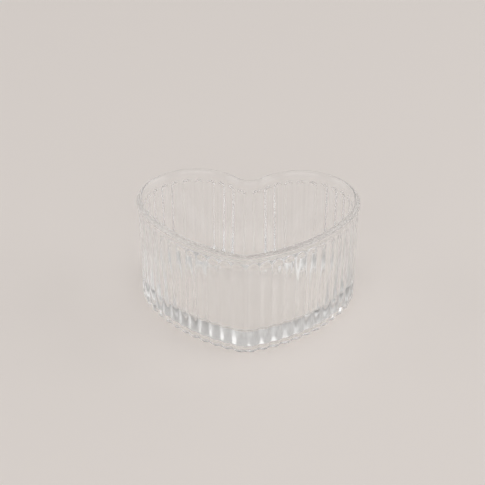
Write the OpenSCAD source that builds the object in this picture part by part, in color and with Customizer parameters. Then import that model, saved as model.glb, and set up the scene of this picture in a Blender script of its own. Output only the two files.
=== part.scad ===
// Heart-shaped dish of clear pressed glass, open at the top and moulded in one piece.
//
// Frame: millimetres, +Z up. The origin is on the surface that the dish stands on, under the
// middle of its box. The tip of the heart points along -Y and its two lobes lie towards +Y.
//
// The rim's outer edge is drawn with arcs that run into one another: a tip, two bowed flanks,
// two lobes and the cleft between the lobes. Everything else is set in from that edge by an
// "inset", which leaves each arc's centre where it is and only changes its radius.

/* [Outline of the rim] */
// Width across the two lobes
dish_w = 100; // [94:1:106]
// Depth from the tip to the far side of the lobes
dish_d = 74; // [72:1:78]
// Radius of each lobe
lobe_r = 26.3; // [26:0.1:27]
// Radius of the bowed flank between a lobe and the tip
flank_r = 77; // [72:1:90]
// Radius of the tip
tip_r = 7; // [7:0.1:8]
// Radius of the cleft between the lobes
cleft_r = 7.5; // [6:0.5:9]

/* [Wall and rim] */
// Height of the dish
dish_h = 51.5; // [45:0.5:60]
// Thickness of the round bead that runs along the rim
bead_t = 3; // [2.9:0.1:3.1]
// Inset of the plain band under the bead
band_in = 1.3; // [1.2:0.05:1.4]
// How much further in the outside is at the foot than under the rim
outer_draft = 0.6; // [0.3:0.1:0.8]
// How much further in the inside is at the floor than at the rim
inner_draft = 1.1; // [0.8:0.1:1.1]

/* [Reeds] */
// Reeds along each half of the outline, from the tip to the cleft
reeds_per_side = 24; // [20:1:25]
// Width of a reed where it meets the wall
reed_w = 4; // [3.6:0.1:4]
// How far a reed stands out of the wall
reed_h = 0.8; // [0.7:0.05:0.85]
// Height of the plain rim above the tops of the reeds, bead included
plain_h = 5.5; // [5:0.5:10]
// Extra room between the reeds on either side of the tip, and of the cleft
end_gap = 0.8; // [0.4:0.1:1.2]

/* [Floor and foot] */
// Thickness of the solid floor over the surface that the dish stands on
floor_t = 10; // [6:0.5:12]
// Radius of the corner between the floor and the inside of the wall
corner_r = 1.7; // [1:0.1:1.7]
// Inset of the inner edge of the ring that the dish rests on
ring_in = 6; // [6:0.1:6.3]
// Depth of the hollow under the floor, inside that ring
hollow_h = 1.6; // [0.4:0.1:3]
// Height of the bevel round the foot
bevel_h = 3; // [1:0.1:3.5]

/* [Hidden] */
$fn = 96;

// Parts of one arc of the outline: its centre, its radius, the angles where it starts and ends,
// and +1 where the glass lies on the centre's side of it or -1 where it lies on the far side.
CENTRE = 0;
RADIUS = 1;
START = 2;
END = 3;
SIDE = 4;

// Centres of the arcs on the +X side. The flank touches the tip and the lobe from inside.
lobe_c = [dish_w / 2 - lobe_r, dish_d / 2 - lobe_r];
tip_c = [0, tip_r - dish_d / 2];
cleft_c = [0, lobe_c.y + sqrt(pow(lobe_r + cleft_r, 2) - pow(lobe_c.x, 2))];
lobe_to_tip = tip_c - lobe_c;
lobe_to_tip_dir = lobe_to_tip / norm(lobe_to_tip);
flank_to_lobe = flank_r - lobe_r;
flank_to_tip = flank_r - tip_r;
flank_along = (pow(flank_to_lobe, 2) - pow(flank_to_tip, 2) + pow(norm(lobe_to_tip), 2))
    / (2 * norm(lobe_to_tip));
flank_across = sqrt(pow(flank_to_lobe, 2) - pow(flank_along, 2));
flank_c = lobe_c + lobe_to_tip_dir * flank_along
    + [lobe_to_tip_dir.y, -lobe_to_tip_dir.x] * flank_across;

// Angles at which one arc hands over to the next
tip_end = bearing(tip_c - flank_c);
flank_end = bearing(lobe_c - flank_c);
lobe_end = bearing(cleft_c - lobe_c);

TIP = [tip_c, tip_r, -90, tip_end, 1];
FLANK = [flank_c, flank_r, tip_end, flank_end, 1];
LOBE = [lobe_c, lobe_r, flank_end, lobe_end, 1];
CLEFT = [cleft_c, cleft_r, lobe_end - 180, -90, -1];
ARCS = [TIP, FLANK, LOBE, CLEFT];

// The tip and the lobes are a hair thinner than the flanks and the cleft, and their ends are
// tucked into them, so that each stretch of wall meets the next without a seam
hair = 0.02;
tuck = 0.3;

// Bead and wall
bead_r = bead_t / 2;
bead_z = dish_h - bead_r;
flare_offset = bead_r * (1 - cos(45));
flare_z = bead_z - bead_r * sin(45);
foot_in = band_in + outer_draft;
floor_in = bead_t + inner_draft;

// Reeds: the circle that gives each one its round face, and the line that its crest follows
reed_r = (pow(reed_w / 2, 2) + pow(reed_h, 2)) / (2 * reed_h);
dome_z = dish_h - plain_h - reed_w / 2;
crest_foot_in = foot_in - reed_h;
reed_lean = atan(outer_draft / bead_z);
bevel_in = reed_h;
// Inset at which a reed's root ends, inside the thickness of the wall
reed_root_in = 2.8;
half_length = sum_lengths(crest_foot_in, len(ARCS));
pitch = (half_length - 2 * end_gap) / reeds_per_side;

// The floor's plate ends inside the ring of glass that the wall stands on, so its straight sides,
// a few to each arc, never show
plate_in = 4.8;
plate_steps = 6;

function bearing(v) = atan2(v.y, v.x);

function arc_radius(arc, inset) = arc[RADIUS] - arc[SIDE] * inset;

function arc_length(arc, inset) =
    arc_radius(arc, inset) * abs(arc[END] - arc[START]) * PI / 180;

// Length of the first few arcs together, counted from the tip
function sum_lengths(inset, count) =
    count == 0 ? 0 : arc_length(ARCS[count - 1], inset) + sum_lengths(inset, count - 1);

// Which arc a distance from the tip falls on
function arc_at(distance, inset, i = 0) =
    i == len(ARCS) - 1 || distance <= sum_lengths(inset, i + 1) ? i : arc_at(distance, inset, i + 1);

// Angle, about the arc's own centre, of the point at a distance from the tip
function angle_at(distance, inset, i) =
    ARCS[i][START] + (ARCS[i][END] - ARCS[i][START])
        * (distance - sum_lengths(inset, i)) / arc_length(ARCS[i], inset);

function arc_point(arc, inset, angle) =
    arc[CENTRE] + arc_radius(arc, inset) * [cos(angle), sin(angle)];

// Corners of the outline's +X half at an inset, from the tip to the cleft
function half_outline(inset, steps) = [
    for (arc = ARCS)
        for (i = [0 : steps - 1])
            arc_point(arc, inset, arc[START] + (arc[END] - arc[START]) * i / steps)
];

function mirrored(points) = [for (i = [len(points) - 1 : -1 : 1]) [-points[i].x, points[i].y]];

// Angle that a short length takes up on an arc
function turn(arc, length) = length / arc[RADIUS] * 180 / PI;

// Carries a cross-section, drawn as inset and height, along an arc between two angles
module sweep(arc, from, to) {
    translate(arc[CENTRE])
        rotate([0, 0, from])
            rotate_extrude(angle = to - from)
                translate([arc[RADIUS], 0])
                    mirror([arc[SIDE] > 0 ? 1 : 0, 0])
                        children();
}

// Cross-section of the wall, its bead and the ring of floor that it stands on
module wall_section(thinner = 0) {
    translate([bead_r, bead_z]) circle(bead_r - thinner);
    difference() {
        polygon([
            [foot_in + bevel_in + thinner, 0],
            [foot_in + thinner, bevel_h],
            [band_in + thinner, flare_z - (band_in - flare_offset)],
            [flare_offset + thinner, flare_z],
            [bead_r, bead_z],
            [bead_t - thinner, bead_z],
            [floor_in - thinner, floor_t + corner_r],
            [floor_in + corner_r, floor_t + corner_r],
            [floor_in + corner_r, floor_t - thinner],
            [ring_in - thinner, floor_t - thinner],
            [ring_in - thinner, 0],
        ]);
        translate([floor_in + corner_r, floor_t + corner_r]) circle(corner_r + thinner);
    }
}

// Floor inside the wall's ring
module floor_plate() {
    points = half_outline(plate_in, plate_steps);
    translate([0, 0, hollow_h])
        linear_extrude(floor_t - hollow_h)
            polygon(concat(points, [arc_point(CLEFT, plate_in, -90)], mirrored(points)));
}

// Half of a reed's lengthwise section: a bevelled foot, a straight side and a domed top
module reed_section() {
    polygon([[0, 0], [reed_r - bevel_in, 0], [reed_r, bevel_h], [reed_r, dome_z], [0, dome_z]]);
    translate([0, dome_z]) {
        intersection() {
            circle(reed_r);
            square(reed_r);
        }
    }
}

// One reed, cut off at its root. Its own origin is on the rim's outline, with +X pointing out of
// the dish, and it leans with the draft of the wall.
module reed() {
    intersection() {
        translate([-crest_foot_in - reed_r, 0, 0])
            rotate([0, reed_lean, 0])
                rotate_extrude()
                    reed_section();
        translate([-reed_root_in, -reed_w, 0]) cube([reed_root_in, 2 * reed_w, dish_h]);
    }
}

// Stands its child on the outline at a distance from the tip, facing outwards
module at_distance(distance) {
    i = arc_at(distance, crest_foot_in);
    angle = angle_at(distance, crest_foot_in, i);
    translate(arc_point(ARCS[i], 0, angle))
        rotate([0, 0, ARCS[i][SIDE] > 0 ? angle : angle + 180])
            children();
}

// A flank, a lobe and the reeds on the +X side
module half_wall() {
    sweep(FLANK, tip_end, flank_end) wall_section();
    sweep(LOBE, flank_end - turn(LOBE, tuck), lobe_end + turn(LOBE, tuck)) wall_section(hair);
    for (k = [0 : reeds_per_side - 1]) {
        at_distance(end_gap + (k + 0.5) * pitch) reed();
    }
}

module tip_wall() {
    end = tip_end + turn(TIP, tuck);
    sweep(TIP, -180 - end, end) wall_section(hair);
}

module cleft_wall() {
    sweep(CLEFT, -180 - CLEFT[START], CLEFT[START]) wall_section();
}

module heart_dish() {
    color([0.88, 0.9, 0.9, 0.6]) {
        half_wall();
        mirror([1, 0, 0]) half_wall();
        tip_wall();
        cleft_wall();
        floor_plate();
    }
}

heart_dish();
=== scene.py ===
# %% [markdown]
# # A heart-shaped dish of clear pressed glass
#
# The dish is one piece of glass. A smooth round bead runs along the rim, a plain band lies under
# it, and upright reeds with domed tops cover the outside down to the table. The inside is smooth,
# and the floor is thick and clear.
#
# We start from the imported model, which says exactly how big the dish is and where it stands. It
# stays as the solid that other tools measure, and a finer dish is modelled in its place. It
# stays, hidden, and a finer dish is modelled in its place.

# %% Load the frame
import math

import bpy
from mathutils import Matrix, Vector


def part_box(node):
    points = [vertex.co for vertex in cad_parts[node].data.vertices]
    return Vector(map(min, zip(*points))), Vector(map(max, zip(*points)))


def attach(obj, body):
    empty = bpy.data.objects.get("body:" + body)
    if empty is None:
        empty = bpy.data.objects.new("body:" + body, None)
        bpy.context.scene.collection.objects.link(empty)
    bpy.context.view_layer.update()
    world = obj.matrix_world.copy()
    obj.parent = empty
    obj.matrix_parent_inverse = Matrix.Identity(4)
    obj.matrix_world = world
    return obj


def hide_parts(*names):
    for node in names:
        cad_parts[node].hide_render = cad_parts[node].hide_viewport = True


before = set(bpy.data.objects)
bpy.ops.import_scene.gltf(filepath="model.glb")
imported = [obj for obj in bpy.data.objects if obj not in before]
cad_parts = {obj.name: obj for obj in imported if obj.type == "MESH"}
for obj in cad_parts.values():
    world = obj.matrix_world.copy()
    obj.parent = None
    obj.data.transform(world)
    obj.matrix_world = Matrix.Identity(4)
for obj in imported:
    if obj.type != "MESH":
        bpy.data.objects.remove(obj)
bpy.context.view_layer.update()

scene = bpy.context.scene
low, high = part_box("heart_dish")
width = high.x - low.x
depth = high.y - low.y
height = high.z - low.z
print(f"dish: {width * 1000:.1f} x {depth * 1000:.1f} x {height * 1000:.1f} mm")

# %% [markdown]
# ## Camera
#
# The dish is seen from the front, a little above, with a long lens, which keeps the two lobes of
# the heart nearly the same size. The camera is placed by its distance and its two angles from the
# point that it aims at, so that the view is easy to turn.

# %% Camera
view_distance = 0.65
view_up = math.radians(33.74)
view_side = math.radians(1.74)
aim = Vector((-0.0027, 0.0147, 0.025))
lens = 105.1
sensor = 36
back = Vector((math.sin(view_side) * math.cos(view_up),
               -math.cos(view_side) * math.cos(view_up),
               math.sin(view_up)))
bpy.ops.object.camera_add(location=aim + back * view_distance)
camera = bpy.context.object
camera.name = "camera"
camera.rotation_euler = back.to_track_quat("Z", "Y").to_euler()
camera.data.lens = lens
camera.data.sensor_width = sensor
camera.data.dof.use_dof = False
scene.camera = camera
print(f"camera: {view_distance * 1000:.0f} mm away, lens {lens:.1f} mm")

# %% [markdown]
# ## Table
#
# Clear glass has no colour of its own: what we see is the table and the light, bent and mirrored.
# So the table is plain and pale. It could be a small plane, but a very wide one has no edge that
# the glass could bend into view.

# %% Floor
def deselect_all():
    for other in bpy.context.selected_objects:
        other.select_set(False)


def node(material, kind, **values):
    """Adds a node to a material and sets its inputs by name, with _ for a space."""
    made = material.node_tree.nodes.new(kind)
    for name, value in values.items():
        made.inputs[name.replace("_", " ")].default_value = value
    return made


def link(material, source, output, target, socket):
    material.node_tree.links.new(source.outputs[output], target.inputs[socket])


# The floor lies a hair under the foot, because two faces at one height would show as black specks
floor_size = 40
floor_gap = 0.00005
deselect_all()
bpy.ops.mesh.primitive_grid_add(x_subdivisions=8, y_subdivisions=8, size=floor_size,
                                location=(0, 0, -floor_gap))
floor = bpy.context.object
floor.name = "floor"

floor_paint = bpy.data.materials.new("pale_table")
floor_paint.use_nodes = True
floor_shader = floor_paint.node_tree.nodes["Principled BSDF"]
floor_shader.inputs["Base Color"].default_value = (0.925, 0.868, 0.83, 1)
floor_shader.inputs["Roughness"].default_value = 0.75
floor_shader.inputs["Specular IOR Level"].default_value = 0.2
floor.data.materials.append(floor_paint)
print(f"floor: {floor_size} m square")

# %% [markdown]
# ## Room and soft lights
#
# An evenly bright room would make the dish almost vanish. This one is dimmer near the table's
# height than overhead, because that dim band is what draws the outlines of the rim and the reeds.
# Four big soft lights stand round the dish. They are hidden from the camera itself, so that they
# never stand in the picture, but the glass still bends and mirrors them.

# %% Room and lights
light_near_table = 0.19
light_overhead = 0.55
overhead_starts = 0.7
world = bpy.data.worlds.new("room")
world.use_nodes = True
scene.world = world
room = world.node_tree.nodes["Background"]
room.inputs["Color"].default_value = (1.0, 0.98, 0.96, 1)

room_nodes = world.node_tree.nodes
room_links = world.node_tree.links
direction = room_nodes.new("ShaderNodeTexCoord")
direction_axes = room_nodes.new("ShaderNodeSeparateXYZ")
brightness = room_nodes.new("ShaderNodeMapRange")
brightness.inputs["From Max"].default_value = overhead_starts
brightness.inputs["To Min"].default_value = light_near_table
brightness.inputs["To Max"].default_value = light_overhead
room_links.new(direction.outputs["Generated"], direction_axes.inputs["Vector"])
room_links.new(direction_axes.outputs["Z"], brightness.inputs["Value"])
room_links.new(brightness.outputs["Result"], room.inputs["Strength"])


def soft_light(name, place, size, power):
    """A soft light that faces the dish and is seen only through the glass and in its shine."""
    bpy.ops.object.light_add(type="AREA", location=place)
    lamp = bpy.context.object
    lamp.name = name
    lamp.data.shape = "RECTANGLE"
    lamp.data.size = size[0]
    lamp.data.size_y = size[1]
    lamp.data.energy = power
    lamp.visible_camera = False
    lamp.rotation_euler = (Vector(place) - aim).to_track_quat("Z", "Y").to_euler()
    return lamp


soft_light("front", (0, -2.0, 1.5), (3.0, 1.4), 11.5)
soft_light("right", (2.0, 0, 1.3), (1.6, 1.9), 9)
soft_light("left", (-2.0, 0, 1.2), (1.4, 1.4), 4)
soft_light("back", (1.6, 1.6, 1.7), (2.2, 1.8), 6)
scene.view_settings.view_transform = "Standard"

# Light crosses a glass dish many times, so it may bounce often and is never blurred on the way
glass_bounces = 32
scene.cycles.glossy_bounces = glass_bounces
scene.cycles.transmission_bounces = glass_bounces
scene.cycles.max_bounces = 2 * glass_bounces
scene.cycles.blur_glossy = 0

# %% [markdown]
# ## Clear glass
#
# Pressed glass is almost perfectly clear, but the mould leaves it very slightly wavy. The waves
# could be modelled, but they are only a few hundredths of a millimetre deep, so a soft noise in
# the bump is enough. A finer noise makes the polish a touch duller here and there. Both are read
# from the object's own coordinates.

# %% Glass
glass = bpy.data.materials.new("clear_pressed_glass")
glass.use_nodes = True
glass_shader = glass.node_tree.nodes["Principled BSDF"]
glass_shader.inputs["Base Color"].default_value = (0.995, 0.997, 0.996, 1)
glass_shader.inputs["Metallic"].default_value = 0
glass_shader.inputs["IOR"].default_value = 1.5
glass_shader.inputs["Transmission Weight"].default_value = 1

place_in_glass = node(glass, "ShaderNodeTexCoord")
waves = node(glass, "ShaderNodeTexNoise", Scale=90.0, Detail=1.0)
link(glass, place_in_glass, "Object", waves, "Vector")
wave_bump = node(glass, "ShaderNodeBump", Strength=0.12, Distance=0.0006)
link(glass, waves, "Fac", wave_bump, "Height")
link(glass, wave_bump, "Normal", glass_shader, "Normal")

polish = node(glass, "ShaderNodeTexNoise", Scale=260.0, Detail=3.0)
link(glass, place_in_glass, "Object", polish, "Vector")
polish_range = node(glass, "ShaderNodeMapRange", To_Min=0.06, To_Max=0.14)
link(glass, polish, "Fac", polish_range, "Value")
link(glass, polish_range, "Result", glass_shader, "Roughness")
print("material:", glass.name)

# %% [markdown]
# ## The path round the heart
#
# Half of the heart is four arcs that run into one another: the tip, a bowed flank, a lobe and the
# cleft. One vertex is spun about the centre of each arc in turn, which is how a maker would walk
# a pair of compasses round a drawing. The path runs along the crests of the reeds, because the
# reeds have to be evenly spaced there.

# %% Path
lobe_radius = 0.0263
flank_radius = 0.077
tip_radius = 0.007
cleft_radius = 0.0075

# How far the crests of the reeds are set in from the rim, at the foot
crest_in = 0.0011

lobe_centre = Vector((width / 2 - lobe_radius, depth / 2 - lobe_radius, 0))
tip_centre = Vector((0, tip_radius - depth / 2, 0))
cleft_rise = math.sqrt((lobe_radius + cleft_radius) ** 2 - lobe_centre.x ** 2)
cleft_centre = Vector((0, lobe_centre.y + cleft_rise, 0))

# The flank's centre lies where its arc can touch the lobe's and the tip's from outside
lobe_to_tip = tip_centre - lobe_centre
span = lobe_to_tip.length
to_lobe = flank_radius - lobe_radius
to_tip = flank_radius - tip_radius
along = (to_lobe ** 2 - to_tip ** 2 + span ** 2) / (2 * span)
across = math.sqrt(to_lobe ** 2 - along ** 2)
straight = lobe_to_tip / span
flank_centre = lobe_centre + straight * along + Vector((straight.y, -straight.x, 0)) * across


def bearing(arrow):
    return math.atan2(arrow.y, arrow.x)


tip_end = bearing(tip_centre - flank_centre)
flank_end = bearing(lobe_centre - flank_centre)
lobe_end = bearing(cleft_centre - lobe_centre)


def edit(piece):
    """Opens one piece in edit mode with nothing selected."""
    deselect_all()
    piece.select_set(True)
    bpy.context.view_layer.objects.active = piece
    bpy.ops.object.mode_set(mode="EDIT")
    bpy.ops.mesh.select_all(action="DESELECT")


def done():
    bpy.ops.object.mode_set(mode="OBJECT")


def walk(centre, turn, step):
    """Spins the selected end of the path about a centre; a plus turn is anticlockwise."""
    steps = max(1, round(abs(turn) / step))
    bpy.ops.mesh.spin(steps=steps, angle=-turn, center=centre, axis=(0, 0, 1))


def chords(radius, turn, steps):
    """Length of an arc that is walked in straight steps."""
    return 2 * radius * math.sin(turn / steps / 2) * steps


# The path leads a little past the tip and the cleft, because a curve's direction is only exact
# away from its ends
fine_step = math.radians(0.5)
coarse_step = math.radians(1)
tip_path_radius = tip_radius - crest_in
cleft_path_radius = cleft_radius + crest_in
lead_turn = math.radians(4)
lead_steps = 4
start = tip_centre + Vector((-math.sin(lead_turn), -math.cos(lead_turn), 0)) * tip_path_radius

deselect_all()
bpy.ops.mesh.primitive_plane_add(size=0.001)
path = bpy.context.object
path.name = "path"
bpy.ops.object.mode_set(mode="EDIT")
bpy.ops.mesh.merge(type="CENTER")
bpy.ops.transform.translate(value=start)
walk(tip_centre, lead_turn, lead_turn / lead_steps)
walk(tip_centre, tip_end + math.pi / 2, coarse_step)
walk(flank_centre, flank_end - tip_end, fine_step)
walk(lobe_centre, lobe_end - flank_end, coarse_step)
walk(cleft_centre, -math.pi / 2 - (lobe_end - math.pi), coarse_step)
walk(cleft_centre, -lead_turn, lead_turn / lead_steps)
done()
bpy.ops.object.convert(target="CURVE")
path = bpy.context.object
path.data.twist_mode = "Z_UP"
lead_in = chords(tip_path_radius, lead_turn, lead_steps)
lead_out = chords(cleft_path_radius, lead_turn, lead_steps)
path_length = path.data.splines[0].calc_length() - lead_in - lead_out
print(f"half path: {path_length * 1000:.2f} mm, and {lead_in * 1000:.2f} mm before the tip")

# %% [markdown]
# ## One reed's width of wall
#
# The wall's cross-section is the same all the way round, so one strip, as wide as one reed with
# its share of the groove beside it, is enough. A flat strip of the underside is extruded row by
# row: up the bevelled foot, the outside, the band and the bead, then down the inside and on to the
# floor. Across the strip run enough columns to make the reed round.

# %% Cross-section of the wall
reeds = 24
end_gap = 0.0008
pitch = (path_length - 2 * end_gap) / reeds
columns = 20

bead_radius = 0.0015
bead_z = height - bead_radius
bead_steps = 20
band_in = 0.0013
outer_lean = 0.0006
floor_z = 0.010
corner_radius = 0.0017
corner_steps = 6
floor_in = 0.0041
foot_height = 0.003
foot_bevel = 0.0008
ring_in = 0.006
hollow_height = 0.0016
hollow_steps = ((0.0001, 0.0002), (0.00005, 0.0012), (0.0002, 0.0002))
dome_z = 0.044
dome_top = 0.0462
dome_steps = 10
band_top = 0.04808

# Rows that lie close to a corner keep smooth shading from rounding the faces beside it
foot_heights = (0.0001, 0.0003, 0.0015, 0.0027, 0.0029)
above_foot_heights = (0.0031, 0.0034)
side_heights = (0.008, 0.02, 0.032, 0.040, 0.0425, dome_z)
band_middle = 0.0472
band_edge = 0.0002
flare_edge = 0.0001


def wall_in(z):
    """How far the bare outside wall is set in at a height."""
    return band_in + outer_lean * (1 - z / band_top)


def arc_rows(centre_in, centre_z, radius, start, end, steps):
    """Rows of a rounded corner; angles in degrees, 0 towards the inside of the dish."""
    rows = []
    for i in range(1, steps + 1):
        angle = math.radians(start + (end - start) * i / steps)
        rows.append((centre_in + radius * math.cos(angle), centre_z + radius * math.sin(angle)))
    return rows


foot_rows = [(wall_in(foot_height) + foot_bevel * (1 - z / foot_height), z) for z in foot_heights]
foot_rows += [(wall_in(z), z) for z in above_foot_heights]
wall_rows = [(wall_in(z), z) for z in side_heights]
for i in range(1, dome_steps + 1):
    z = dome_z + (dome_top - dome_z) * i / dome_steps
    wall_rows.append((wall_in(z), z))

# Over the band the wall flares out to meet the bead halfway up its lower side
half_right = math.radians(45)
flare_in = bead_radius * (1 - math.cos(half_right))
flare_z = bead_z - bead_radius * math.sin(half_right)
band_rows = [(wall_in(band_middle), band_middle),
             (wall_in(band_top - band_edge), band_top - band_edge),
             (band_in - band_edge, band_top + 1.1 * band_edge)]
bead_rows = [(flare_in + flare_edge, flare_z - flare_edge)]
bead_rows += arc_rows(bead_radius, bead_z, bead_radius, 225, 0, bead_steps)
inner_rows = [(floor_in, floor_z + corner_radius)]
inner_rows += arc_rows(floor_in + corner_radius, floor_z + corner_radius, corner_radius,
                       180, 270, corner_steps)
rows = foot_rows + wall_rows + band_rows + bead_rows + inner_rows + [(ring_in, floor_z)]
print(f"{len(rows)} rows up and over the wall, {columns} columns, pitch {pitch * 1000:.2f} mm")

# %% [markdown]
# ## The strip itself
#
# The strip could be drawn as a closed outline and swept, but extruding one edge again and again
# puts every row exactly where the list says, and leaves neat four-sided faces. It starts as the flat
# ring that the dish stands on: one edge goes up and over the wall, the other into the hollow.

# %% Extrude the strip
def select_where(piece, test):
    """In edit mode, selects the vertices that pass a test, and the edges and faces between them."""
    bpy.ops.object.mode_set(mode="OBJECT")
    corners = piece.data.vertices
    for vertex in corners:
        vertex.select = test(vertex.co)
    for edge in piece.data.edges:
        edge.select = all(corners[i].select for i in edge.vertices)
    for face in piece.data.polygons:
        face.select = all(corners[i].select for i in face.vertices)
    bpy.ops.object.mode_set(mode="EDIT")


# How close two places in a mesh have to be to count as the same
same_place = 1e-6
same_after_bend = 1e-5


def near(value, target):
    return abs(value - target) < same_place


def extrude_edges(shift):
    bpy.ops.mesh.extrude_edges_move(TRANSFORM_OT_translate={"value": shift})


strip_deep = ring_in - (wall_in(foot_height) + foot_bevel)
deselect_all()
bpy.ops.mesh.primitive_grid_add(x_subdivisions=columns, y_subdivisions=1, size=1)
dish = bpy.context.object
dish.name = "heart_dish_glass"
bpy.ops.object.mode_set(mode="EDIT")
bpy.ops.mesh.select_all(action="SELECT")
bpy.ops.transform.resize(value=(pitch, strip_deep, 1))
bpy.ops.transform.translate(value=(pitch / 2, ring_in - crest_in - strip_deep / 2, 0))
bpy.ops.mesh.select_mode(type="EDGE")

outer_edge = ring_in - crest_in - strip_deep
select_where(dish, lambda co: near(co.y, outer_edge))
here = (ring_in - strip_deep, 0)
for row in rows:
    extrude_edges((0, row[0] - here[0], row[1] - here[1]))
    here = row

select_where(dish, lambda co: near(co.y, ring_in - crest_in) and near(co.z, 0))
for step_in, step_up in hollow_steps:
    extrude_edges((0, step_in, step_up))
done()
print(f"strip: {len(dish.data.polygons)} faces")

# %% [markdown]
# ## Round the reed
#
# A reed is a slice of an upright cylinder with a ball for a top, sunk into the wall. Each vertex
# of the outside goes to whichever stands further out, the bare wall or the reed. A mould can't
# keep a knife-sharp corner between the two, so they are blended over a few tenths of a
# millimetre.

# %% Push the reed out
reed_width = 0.004
reed_height = 0.0008
reed_radius = ((reed_width / 2) ** 2 + reed_height ** 2) / (2 * reed_height)
blend = 0.0004


def reed_section_radius(z):
    """Radius of the reed at a height: smaller round the foot and in the domed top."""
    if z < foot_height:
        return reed_radius - foot_bevel * (1 - z / foot_height)
    if z <= dome_z:
        return reed_radius
    return math.sqrt(max(0, reed_radius ** 2 - (z - dome_z) ** 2))


def soft_lowest(a, b):
    lowest = min(a, b)
    return lowest - blend * math.log(math.exp((lowest - a) / blend) + math.exp((lowest - b) / blend))


outside_low = -same_place
outside_high = dome_top + 0.0005
for vertex in dish.data.vertices:
    z = vertex.co.z
    bare = wall_in(max(z, foot_height))
    if z < foot_height:
        bare += foot_bevel * (1 - z / foot_height)
    inset = vertex.co.y + crest_in
    if outside_low < z < outside_high and abs(inset - bare) < same_after_bend:
        side = vertex.co.x - pitch / 2
        radius = reed_section_radius(z)
        axis = wall_in(max(z, foot_height)) - reed_height + reed_radius
        face = axis - math.sqrt(max(0, radius ** 2 - side ** 2))
        vertex.co.y = soft_lowest(bare, face) - crest_in
print(f"reed: {reed_width * 1000:.1f} mm wide, face radius {reed_radius * 1000:.2f} mm")

# %% [markdown]
# ## Twenty-four reeds, bent round the heart
#
# An Array modifier repeats the strip and welds the copies, the two ends get a little plain glass
# for the tip and the cleft, and a Curve modifier bends the row along the path. Mirror makes the
# other half. Each modifier is applied as soon as it has done its work.

# %% Repeat, bend and mirror
def apply_modifier(piece, name):
    deselect_all()
    piece.select_set(True)
    bpy.context.view_layer.objects.active = piece
    bpy.ops.object.modifier_apply(modifier=name)


run = dish.modifiers.new("run", "ARRAY")
run.count = reeds
run.use_relative_offset = False
run.use_constant_offset = True
run.constant_offset_displace = (pitch, 0, 0)
run.use_merge_vertices = True
run.merge_threshold = 2 * same_place
apply_modifier(dish, "run")

gap_steps = 3
edit(dish)
bpy.ops.mesh.select_mode(type="EDGE")
select_where(dish, lambda co: near(co.x, 0))
for _ in range(gap_steps):
    extrude_edges((-end_gap / gap_steps, 0, 0))
far_end = pitch * reeds
select_where(dish, lambda co: abs(co.x - far_end) < 5 * same_place)
for _ in range(gap_steps):
    extrude_edges((end_gap / gap_steps, 0, 0))
bpy.ops.mesh.select_all(action="SELECT")
bpy.ops.transform.translate(value=(end_gap + lead_in, 0, 0))
done()

bend = dish.modifiers.new("bend", "CURVE")
bend.object = path
bend.deform_axis = "POS_X"
apply_modifier(dish, "bend")
half_low = min(v.co.x for v in dish.data.vertices)
half_high = max(v.co.x for v in dish.data.vertices)
print(f"half: x from {half_low * 1000:.4f} to {half_high * 1000:.2f} mm")
bpy.data.objects.remove(path)

other_half = dish.modifiers.new("other_half", "MIRROR")
other_half.use_mirror_merge = True
other_half.merge_threshold = same_after_bend
apply_modifier(dish, "other_half")
print(f"ring: {len(dish.data.polygons)} faces")

# %% [markdown]
# ## Floor and underside
#
# The ring still has two holes: the floor inside, and the shallow hollow underneath. Each is
# flat, so its edge is simply filled. After that the glass is a closed skin, and its faces are
# turned to point outwards.

# %% Close the floor
edit(dish)
bpy.ops.mesh.select_mode(type="EDGE")
for level in (floor_z, hollow_height):
    bpy.ops.mesh.select_all(action="DESELECT")
    bpy.ops.mesh.select_non_manifold(extend=False)
    done()
    for edge in dish.data.edges:
        flat = all(abs(dish.data.vertices[i].co.z - level) < same_after_bend for i in edge.vertices)
        edge.select = edge.select and flat
    for vertex in dish.data.vertices:
        vertex.select = False
    for edge in dish.data.edges:
        if edge.select:
            for i in edge.vertices:
                dish.data.vertices[i].select = True
    bpy.ops.object.mode_set(mode="EDIT")
    bpy.ops.mesh.edge_face_add()
bpy.ops.mesh.select_all(action="SELECT")
bpy.ops.mesh.normals_make_consistent(inside=False)
bpy.ops.mesh.select_all(action="DESELECT")
bpy.ops.mesh.select_non_manifold(extend=False)
done()
open_edges = sum(edge.select for edge in dish.data.edges)
deselect_all()
dish.select_set(True)
bpy.ops.object.shade_smooth()
dish.data.materials.clear()
dish.data.materials.append(glass)
print(f"dish: {len(dish.data.polygons)} faces, {open_edges} open edges")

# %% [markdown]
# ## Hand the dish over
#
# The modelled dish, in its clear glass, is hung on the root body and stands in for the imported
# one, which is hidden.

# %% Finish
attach(dish, "root")
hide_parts("heart_dish")
